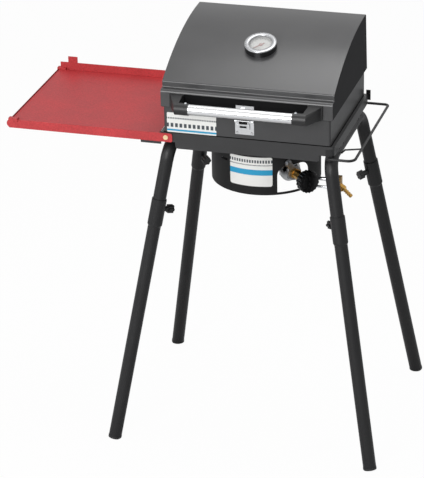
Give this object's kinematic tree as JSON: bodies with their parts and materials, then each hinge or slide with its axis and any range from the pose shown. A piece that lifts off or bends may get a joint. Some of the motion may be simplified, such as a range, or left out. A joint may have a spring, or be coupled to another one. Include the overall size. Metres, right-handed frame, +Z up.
{
  "type": "gas barbecue grill",
  "caption": "Camp-stove barbecue on splayed tube legs: hooded grill box with a lid and bar handle, drum burner with a knob, folding side shelf and folding wire rack.",
  "frame": {"origin": "on the ground, under the middle of the stove frame", "axes": "+X to the right of someone who stands at the handle, +Y to the rear, +Z up; the front faces -Y"},
  "size_m": [0.9453, 0.5746, 1.009],
  "materials": {
    "black_powder_coat": "satin",
    "black_enamel": "satin sheen",
    "red_powder_coat": "satin",
    "zinc_steel": "zinc plated",
    "rivet_steel": "yellow zinc",
    "brass": "machined",
    "cast_iron": "seasoned",
    "black_plastic": "matt",
    "polished_steel": "polished",
    "label_foil": "printed foil",
    "dial_enamel": "satin",
    "needle_red": "satin",
    "gauge_glass": "clear"
  },
  "bodies": {
    "stove": {"stove_frame": "black_powder_coat", "front_apron": "black_powder_coat", "leg_tube_left": "black_powder_coat", "leg_tube_right": "black_powder_coat", "tube_saddles": "black_powder_coat", "saddle_bolts": "zinc_steel", "drum": "black_powder_coat", "drum_screws": "zinc_steel", "drum_label": "label_foil", "burner_head": "cast_iron", "mixer_tube": "zinc_steel", "burner_strap": "zinc_steel", "valve_bracket": "zinc_steel", "valve_body": "brass", "inlet_pipe": "zinc_steel", "stay_rod": "zinc_steel", "hose_barb": "brass", "stove_grate": "cast_iron", "shelf_rivets": "rivet_steel", "shelf_supports": "black_powder_coat", "rack_hangers": "black_powder_coat", "grill_box": "black_powder_coat", "heat_diffuser": "zinc_steel", "cooking_grates": "cast_iron", "box_label": "label_foil", "latch_plate": "polished_steel", "box_hinge_leaves": "black_powder_coat", "hinge_pins": "zinc_steel"},
    "lower_leg_front_left": {"lower_leg_front_left": "black_powder_coat", "foot_cap_front_left": "black_plastic"},
    "thumbscrew_front_left": {"thumbscrew_front_left": "black_plastic"},
    "lower_leg_rear_left": {"lower_leg_rear_left": "black_powder_coat", "foot_cap_rear_left": "black_plastic"},
    "thumbscrew_rear_left": {"thumbscrew_rear_left": "black_plastic"},
    "lower_leg_front_right": {"lower_leg_front_right": "black_powder_coat", "foot_cap_front_right": "black_plastic"},
    "thumbscrew_front_right": {"thumbscrew_front_right": "black_plastic"},
    "lower_leg_rear_right": {"lower_leg_rear_right": "black_powder_coat", "foot_cap_rear_right": "black_plastic"},
    "thumbscrew_rear_right": {"thumbscrew_rear_right": "black_plastic"},
    "knob": {"control_knob": "black_plastic", "valve_stem": "zinc_steel"},
    "shutter": {"air_shutter": "zinc_steel"},
    "shelf": {"side_shelf": "red_powder_coat"},
    "rack": {"wire_rack": "black_powder_coat"},
    "flap": {"latch_flap": "polished_steel"},
    "lid": {"lid_cover": "black_enamel", "lid_side_left": "black_powder_coat", "lid_side_right": "black_powder_coat", "latch_keeper": "polished_steel", "lid_hinge_leaves": "black_powder_coat", "handle_tube": "polished_steel", "handle_bracket_left": "black_plastic", "handle_bracket_right": "black_plastic", "handle_screws": "zinc_steel", "gauge_case": "polished_steel", "gauge_dial": "dial_enamel", "gauge_glass": "gauge_glass", "gauge_probe": "zinc_steel"},
    "needle": {"gauge_needle": "needle_red"}
  },
  "joints": [
    {"name": "lid_hinge", "type": "hinge", "parent": "stove", "child": "lid", "pos_m": [0, 0.1865, 0.86], "axis": [-1, 0, 0], "range_deg": [0, 95]},
    {"name": "shelf_hinge", "type": "hinge", "parent": "stove", "child": "shelf", "pos_m": [-0.199, 0, 0.784], "axis": [0, 1, 0], "range_deg": [0, 42]},
    {"name": "rack_hinge", "type": "hinge", "parent": "stove", "child": "rack", "pos_m": [0.201, 0, 0.7684], "axis": [0, -1, 0], "range_deg": [0, 58]},
    {"name": "latch_flap_hinge", "type": "hinge", "parent": "stove", "child": "flap", "pos_m": [0, -0.1805, 0.843], "axis": [-1, 0, 0], "range_deg": [0, 155]},
    {"name": "knob_turn", "type": "hinge", "parent": "stove", "child": "knob", "pos_m": [0, 0, 0.686], "axis": [0.7071, -0.7071, 0], "range_deg": [0, 270]},
    {"name": "shutter_turn", "type": "hinge", "parent": "stove", "child": "shutter", "pos_m": [0, 0, 0.686], "axis": [0.7071, -0.7071, 0], "range_deg": [0, 60]},
    {"name": "needle_turn", "type": "hinge", "parent": "lid", "child": "needle", "pos_m": [0, -0.038, 0.97731], "axis": [0, 0.3132, -0.9497], "range_deg": [0, 270]},
    {"name": "leg_pull_front_left", "type": "slide", "parent": "stove", "child": "lower_leg_front_left", "axis": [-0.1658, -0.1483, -0.9749], "range_m": [0, 0.045]},
    {"name": "thumbscrew_turn_front_left", "type": "hinge", "parent": "lower_leg_front_left", "child": "thumbscrew_front_left", "pos_m": [-0.22492, -0.18054, 0.59472], "axis": [0.6795, 0.6993, -0.2219], "range_deg": [0, 360]},
    {"name": "leg_pull_rear_left", "type": "slide", "parent": "stove", "child": "lower_leg_rear_left", "axis": [-0.1658, 0.1483, -0.9749], "range_m": [0, 0.045]},
    {"name": "thumbscrew_turn_rear_left", "type": "hinge", "parent": "lower_leg_rear_left", "child": "thumbscrew_rear_left", "pos_m": [-0.22492, 0.18054, 0.59472], "axis": [0.6795, -0.6993, -0.2219], "range_deg": [0, 360]},
    {"name": "leg_pull_front_right", "type": "slide", "parent": "stove", "child": "lower_leg_front_right", "axis": [0.1658, -0.1483, -0.9749], "range_m": [0, 0.045]},
    {"name": "thumbscrew_turn_front_right", "type": "hinge", "parent": "lower_leg_front_right", "child": "thumbscrew_front_right", "pos_m": [0.22492, -0.18054, 0.59472], "axis": [-0.6795, 0.6993, -0.2219], "range_deg": [0, 360]},
    {"name": "leg_pull_rear_right", "type": "slide", "parent": "stove", "child": "lower_leg_rear_right", "axis": [0.1658, 0.1483, -0.9749], "range_m": [0, 0.045]},
    {"name": "thumbscrew_turn_rear_right", "type": "hinge", "parent": "lower_leg_rear_right", "child": "thumbscrew_rear_right", "pos_m": [0.22492, 0.18054, 0.59472], "axis": [-0.6795, -0.6993, -0.2219], "range_deg": [0, 360]}
  ]
}
